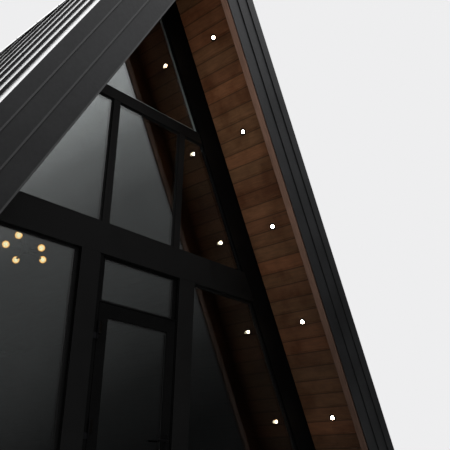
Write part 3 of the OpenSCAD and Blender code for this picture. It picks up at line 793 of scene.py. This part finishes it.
class CABIN_OT_downlights(bpy.types.Operator):
    """Downlights with a rolled rim, a gilt reflector and a lit lens"""

    bl_idname = "cabin.downlights"
    bl_label = "Downlights"

    glow: FloatProperty(name="Glow", description="Emission strength of a lens", default=60.0, min=0.0)

    def execute(self, context):
        for side, name in SIDES:
            self.row(context.scene.cabin_sizes.lens_rim, inwards(side), "downlights_" + name)
        return {"FINISHED"}

    def row(self, rim, out, node):
        """One overhang's downlights: the highest is made, and the others are its copies."""
        # Places on the axis are shares of the depth, from 0 at the back to 1 at the face
        rim_bottom, cup_foot, cup_bottom, cup_lip, lens_foot, lens_face = 0.4, 0.42, 0.56, 0.96, 0.6, 0.8
        clear, cup_wall, cup_taper, lens_share = 0.0003, 0.001, 0.75, 0.72
        sides = 40
        discs = sorted(islands(node), key=lambda box: -box[0].z)
        middle = [(low + high) / 2 for low, high in discs]
        low, high = discs[0]
        radius = (high.y - low.y) / 2
        deep = abs((high.x - low.x - 2 * radius * math.cos(SLOPE)) / math.sin(SLOPE))

        def at(share):
            return middle[0] + out * deep * (share - 0.5)

        trim = rod(radius, at(0), at(1), sides)
        press(trim, out, rim, at(rim_bottom) - at(1))
        leave_edit()
        round_edges(trim, 0.0012)
        cup = rod(radius - rim - clear, at(cup_foot), at(cup_lip), sides)
        press(cup, out, cup_wall, at(cup_bottom) - at(cup_lip))
        bpy.ops.transform.resize(value=(cup_taper,) * 3, center_override=tuple(at(cup_bottom)))
        leave_edit()
        lens = rod((radius - rim) * lens_share, at(lens_foot), at(lens_face), sides)
        pick(lens, facing(out))
        # The face of the lens rises by 0.6 mm, over a ring that keeps its edge round
        for ring in (0.004, 0.006):
            bpy.ops.mesh.inset(thickness=ring, depth=0)
        bpy.ops.transform.translate(value=out * 0.0006)
        leave_edit()
        for piece in (trim, cup, lens):
            repeat(piece, middle[1] - middle[0], len(middle))
            smooth(piece)
        done(cup, node + "_reflectors", CABIN, "steel", finish(gilt_aluminium))
        done(trim, node + "_rims", CABIN, "black_metal", finish(*FRAME_COAT), node)
        lit = finish(lit_glass, "Opal glass of the downlights", "lens", "#fff6e6", self.glow)
        done(lens, node + "_lenses", CABIN, "lamp_glass", lit)


class CABIN_OT_frames(bpy.types.Operator):
    """Black frames of both gables with eased edges"""

    bl_idname = "cabin.frames"
    bl_label = "Black frames"

    nodes = (
        "casing_front_left casing_front_right front_beam post_left post_right front_sills mullions "
        "upper_transom sashes_lower sashes_upper back_casing back_frames"
    ).split()

    def execute(self, context):
        edge = context.scene.cabin_sizes.frame_edge
        for node in self.nodes:
            coat = finish(*(MATT_COAT if node.startswith("casing") else FRAME_COAT))
            eased(node, edge, "_coated", CABIN, "black_metal", coat)
        return {"FINISHED"}


class CABIN_OT_glazing(bpy.types.Operator):
    """Double-glazed units: two sheets, a spacer bar between them and a rubber seal on both sides"""

    bl_idname = "cabin.glazing"
    bl_label = "Double glazing"

    def execute(self, context):
        for node in ("panes_lower", "panes_upper", "door_transom_pane", "back_panes"):
            self.unit(context, node, CABIN)
        self.unit(context, "door_pane", DOOR)
        return {"FINISHED"}

    def unit(self, context, node, body):
        """The double-glazed units of one node, one for each of its panes."""
        sizes = context.scene.cabin_sizes
        rubber = finish(moulded_rubber)
        clear = 0.0002
        low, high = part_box(node)
        sheet = sizes.sheet_glass
        outer = extrude(face_of(node, FRONT), (0, sheet, 0))
        inner = extrude(face_of(node, BACK), (0, -sheet, 0))
        done(joined([outer, inner]), node + "_sheets", body, "glass", finish(float_glass), node)
        spacer = moved(ring_of(node, FRONT, sizes.spacer_wide), (0, sheet + clear, 0))
        extrude(spacer, (0, high.y - low.y - 2 * (sheet + clear), 0))
        if node == "panes_upper":
            # The pane in the peak is the only one with a bright bar
            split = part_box("upper_transom")[1].z
            peak_bar = twin(spacer)
            cut(peak_bar, (0, 0, split), (0, 0, -1))
            done(peak_bar, "peak_spacer", body, "steel", finish(mill_aluminium))
            cut(spacer, (0, 0, split), (0, 0, 1))
        done(spacer, node + "_spacers", body, "black_metal", rubber)
        front = extrude(ring_of(node, FRONT, sizes.seal_wide), (0, -sizes.seal_proud, 0))
        back = extrude(ring_of(node, BACK, sizes.seal_wide), (0, sizes.seal_proud, 0))
        seals = joined([front, back])
        round_edges(seals, FOLDED_EDGE)
        done(seals, node + "_seals", body, "black_metal", rubber)


class CABIN_OT_interior(bpy.types.Operator):
    """Lining boards under both slopes and boarded floors"""

    bl_idname = "cabin.interior"
    bl_label = "Interior"

    def execute(self, context):
        sizes = context.scene.cabin_sizes
        depth = depth_of("lining_right")
        start = peak(depth + sizes.board_thick)
        stained = finish(stained_boards, "Stained spruce lining", "lining", "Z", board_rise(), start, "Y")
        for side, name in SIDES:
            node = "lining_" + name
            low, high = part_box(node)
            piece = sloped_boards(side, depth, low.y, high.y, low.z, sizes.lining_edge)
            done(piece, node + "_boards", CABIN, "timber", stained, node)
        plank = 0.18
        floor = finish(stained_boards, "Oiled spruce floor", "lining", "X", plank, 0.0, "Y")
        for node in ("ground_floor", "loft_floor"):
            eased(node, WOOD_EDGE, "_boards", CABIN, "timber", floor, 1)
        return {"FINISHED"}


class CABIN_OT_back_gable(bpy.types.Operator):
    """Upright stained boards over the back wall, cut round its windows"""

    bl_idname = "cabin.back_gable"
    bl_label = "Back gable"

    def execute(self, context):
        sizes = context.scene.cabin_sizes
        pitch = sizes.clad_pitch
        joint, clear, short, through = 0.003, 0.0002, 0.004, 0.2
        boards = finish(stained_boards, "Stained larch cladding", "cladding", "X", pitch, pitch / 2, "Z")
        paint(boards, "back_wall")
        low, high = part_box("back_wall")
        count = 2 * math.ceil(high.x / pitch) + 1
        y0 = high.y + clear
        board = block((-pitch / 2, y0, low.z), (pitch / 2 - joint, y0 + sizes.clad_thick, high.z))
        round_edges(board, WOOD_EDGE, 1)
        moved(board, (-pitch * (count - 1) / 2, 0, 0))
        repeat(board, (pitch, 0, 0), count)
        for side in (-1, 1):
            cut(board, (0, 0, high.z - short), -inwards(side))
        gap = Vector((joint, through, joint))
        holes = joined([block(corner - gap, far + gap) for corner, far in islands("back_frames")])
        modify(board, "BOOLEAN", operation="DIFFERENCE", solver="EXACT", object=holes)
        bpy.data.objects.remove(holes)
        done(board, "back_cladding", CABIN, "cladding", boards)
        return {"FINISHED"}


class CABIN_OT_lamp(bpy.types.Operator):
    """Ceiling lamp: black arms with sockets and five warm globes"""

    bl_idname = "cabin.lamp"
    bl_label = "Ceiling lamp"

    glow: FloatProperty(name="Glow", description="Emission strength of a globe", default=1.8, min=0.0)

    def execute(self, context):
        hub_drop, socket_wide, socket_long, seat, flare = 0.120, 0.008, 0.030, 0.006, 1.15
        arms = copy_of("lamp_arms")
        smooth(arms)
        coat = finish(*FRAME_COAT)
        done(arms, "lamp_arms_coated", CABIN, "black_metal", coat, "lamp_arms")
        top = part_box("lamp_arms")[1].z
        plate = [v.co for v in NODES["lamp_arms"].data.vertices if v.co.z > top - 0.001]
        middle = sum(plate, Vector()) / len(plate)
        hub = Vector((middle.x, middle.y, top - hub_drop))
        globes, sockets = [], []
        for low, high in islands("lamp_bulbs"):
            centre = (low + high) / 2
            radius = (high.x - low.x) / 2
            away = (centre - hub).normalized()
            bpy.ops.mesh.primitive_uv_sphere_add(segments=32, ring_count=20, radius=radius, location=centre)
            globes.append(fix_place(bpy.context.object))
            mouth = centre - away * (radius - seat)
            socket = rod(socket_wide, centre - away * (radius + socket_long), mouth)
            pick(socket, facing(away))
            bpy.ops.transform.resize(value=(flare,) * 3, center_override=tuple(mouth))
            leave_edit()
            round_edges(socket, 0.002)
            sockets.append(socket)
        globes, sockets = joined(globes), joined(sockets)
        smooth(globes)
        smooth(sockets)
        lit = finish(lit_glass, "Opal glass of the lamp", "globe", "#ffedc0", self.glow)
        done(globes, "lamp_globes", CABIN, "lamp_glass", lit, "lamp_bulbs")
        done(sockets, "lamp_sockets", CABIN, "black_metal", coat)
        return {"FINISHED"}


class CABIN_OT_door(bpy.types.Operator):
    """Entrance door with its frame: eased edges, levers on long plates and blackened hinges"""

    bl_idname = "cabin.door"
    bl_label = "Entrance door"

    def execute(self, context):
        coat = finish(*MATT_COAT)
        steel = finish(blackened_steel)
        edge = context.scene.cabin_sizes.frame_edge
        eased("door_leaf", edge, "_coated", DOOR, "black_metal", coat)
        eased("door_frame", edge, "_coated", CABIN, "black_metal", coat)
        levers = joined([self.lever(*box) for box in islands("door_handle")])
        smooth(levers)
        done(levers, "door_levers", DOOR, "steel", steel, "door_handle")
        for node, body in (("door_hinges", DOOR), ("frame_hinges", CABIN)):
            piece = copy_of(node)
            round_edges(piece, 0.0008, 1)
            smooth(piece)
            done(piece, node + "_turned", body, "steel", steel, node)
        return {"FINISHED"}

    def lever(self, low, high):
        """A plate with eased corners, a keyhole boss and a lever bent back towards the leaf."""
        plate_wide, plate_thick, from_top, key_drop = 0.036, 0.008, 0.060, 0.090
        radius, bend, reach, end_gap = 0.009, 0.014, 0.045, 0.002
        leaf_low, leaf_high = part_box("door_leaf")
        outside = low.y < leaf_low.y
        face = leaf_low.y if outside else leaf_high.y
        out = -1 if outside else 1
        way = Vector((0, out, 0))
        middle = high.x - plate_wide / 2

        def at(proud, drop=0.0):
            """A point so far in front of the leaf, on the lever's axis or under it."""
            return Vector((middle, face + out * proud, high.z - from_top - drop))

        near, far = sorted((face, face + out * plate_thick))
        plate = block((high.x - plate_wide, near, low.z), (high.x, far, high.z))
        round_edges(plate, 0.003, 3)
        # Neck and key boss start inside the plate, and the bar starts inside the neck
        neck = rod(radius * 1.5, at(0.006), at(0.014))
        round_edges(neck, 0.001)
        bar = rod(radius, at(0.010), at(reach - bend))
        pick(bar, facing(way))
        turn = at(reach - bend) - Vector((bend, 0, 0))
        bpy.ops.mesh.spin(steps=10, angle=-math.radians(90) * out, center=turn, axis=(0, 0, 1))
        draw_out((low.x + end_gap - turn.x, 0, 0))
        closed(bar)
        round_edges(bar, 0.002)
        key = rod(0.012, at(0.004, key_drop), at(0.013, key_drop))
        press(key, way, 0.003, -way * 0.002)
        leave_edit()
        return joined([plate, neck, bar, key])


class CABIN_OT_stage(bpy.types.Operator):
    """Plain pale floor, soft light and the camera"""

    bl_idname = "cabin.stage"
    bl_label = "Stage"

    def execute(self, context):
        scene = context.scene
        self.floor()
        self.sky(scene)
        self.sun()
        self.camera(scene)
        scene.view_settings.view_transform = "Standard"
        return {"FINISHED"}

    def floor(self):
        """A floor 160 m wide, 1 mm under the concrete."""
        bpy.ops.mesh.primitive_plane_add(size=160, location=(0, 0, -0.001))
        floor = bpy.context.object
        floor.name = "studio_floor"
        material, _, shader = new_finish("Pale studio floor")
        wire(shader, {"Base Color": chosen("floor"), "Roughness": 0.9})
        floor.data.materials.append(material)

    def sky(self, scene):
        """An even light from all round, and a pale sky for the eye, for metal and for glass."""
        world = bpy.data.worlds.new("Overcast sky")
        scene.world = world
        world.use_nodes = True
        tree = world.node_tree
        light = tree.nodes["Background"]
        wire(light, {"Color": linear("#f2f5f8"), "Strength": 0.8})
        pale = chosen("sky")
        seen = add(tree, "Background", {"Color": pale, "Strength": 1.0})
        # What metal and glass mirror is brightest overhead, and falls off low down and to the right
        way = add(tree, "TexCoord").outputs["Generated"]
        level = add(tree, "VectorMath", {0: way, 1: (-1, 0, 1)}, operation="DOT_PRODUCT").outputs["Value"]
        level = add(tree, "MapRange", {0: level, 1: -0.6, 2: 0.6})
        fall = [(0.0, 0.01), (0.1, 0.024), (0.25, 0.095), (0.38, 0.15), (0.47, 0.3), (0.55, 0.7), (1.0, 1.0)]
        fall = [(place, shade(pale, factor)) for place, factor in fall]
        fall = add(tree, "ValToRGB", {"Fac": level}, fall)
        mirror = add(tree, "Background", {"Color": fall, "Strength": 2.15})
        path = add(tree, "LightPath").outputs
        sharp = {0: path["Is Glossy Ray"], 1: path["Is Transmission Ray"]}
        sharp = add(tree, "Math", sharp, operation="MAXIMUM")
        mixed = add(tree, "MixShader", {0: sharp, 1: light, 2: mirror})
        mixed = add(tree, "MixShader", {0: path["Is Camera Ray"], 1: mixed, 2: seen})
        wire(tree.nodes["World Output"], {"Surface": mixed})

    def sun(self):
        """A weak sun behind cloud, in front and to the left."""
        bpy.ops.object.light_add(type="SUN", rotation=(math.radians(48), 0, math.radians(-32)))
        sun = bpy.context.object
        sun.name = "soft_sun"
        sun.data.energy = 0.7
        sun.data.angle = math.radians(40)

    def camera(self, scene):
        """Stands where the photograph was taken: low, in front and to the left, tipped upwards."""
        across = Vector((0.684606, -0.728565, 0.022546))
        up = Vector((-0.289081, -0.242985, 0.925954))
        back = Vector((-0.669139, -0.640431, -0.376964))
        lens = bpy.data.cameras.new("camera")
        lens.sensor_width = 36.0
        lens.lens = 53.27
        camera = bpy.data.objects.new("camera", lens)
        scene.collection.objects.link(camera)
        turn = Matrix((across, up, back)).transposed().to_4x4()
        camera.matrix_world = Matrix.Translation((-3.5875, -8.184, 0.93)) @ turn
        scene.camera = camera


OPERATORS = (
    CABIN_OT_base,
    CABIN_OT_roof,
    CABIN_OT_fascias,
    CABIN_OT_soffits,
    CABIN_OT_trims,
    CABIN_OT_downlights,
    CABIN_OT_frames,
    CABIN_OT_glazing,
    CABIN_OT_interior,
    CABIN_OT_back_gable,
    CABIN_OT_lamp,
    CABIN_OT_door,
    CABIN_OT_stage,
)


class CABIN_PT_panel(bpy.types.Panel):
    """Lists the pieces of the cabin in the order in which they are made"""

    bl_label = "A-frame cabin"
    bl_space_type = "VIEW_3D"
    bl_region_type = "UI"
    bl_category = "Cabin"

    def draw(self, context):
        for group in (context.scene.cabin_sizes, context.scene.cabin_colours):
            column = self.layout.column()
            for name in group.__annotations__:
                column.prop(group, name)
        for operator in OPERATORS:
            self.layout.operator(operator.bl_idname)


CLASSES = (CabinSizes, CabinColours, *OPERATORS, CABIN_PT_panel)


def register():
    for cls in CLASSES:
        bpy.utils.register_class(cls)
    bpy.types.Scene.cabin_sizes = PointerProperty(type=CabinSizes)
    bpy.types.Scene.cabin_colours = PointerProperty(type=CabinColours)


def unregister():
    del bpy.types.Scene.cabin_colours
    del bpy.types.Scene.cabin_sizes
    for cls in reversed(CLASSES):
        bpy.utils.unregister_class(cls)


def main():
    register()
    bpy.ops.cabin.base()
    bpy.ops.cabin.roof()
    bpy.ops.cabin.fascias()
    bpy.ops.cabin.soffits()
    bpy.ops.cabin.trims()
    bpy.ops.cabin.downlights()
    bpy.ops.cabin.frames()
    bpy.ops.cabin.glazing()
    bpy.ops.cabin.interior()
    bpy.ops.cabin.back_gable()
    bpy.ops.cabin.lamp()
    bpy.ops.cabin.door()
    bpy.ops.cabin.stage()


if __name__ == "__main__":
    main()
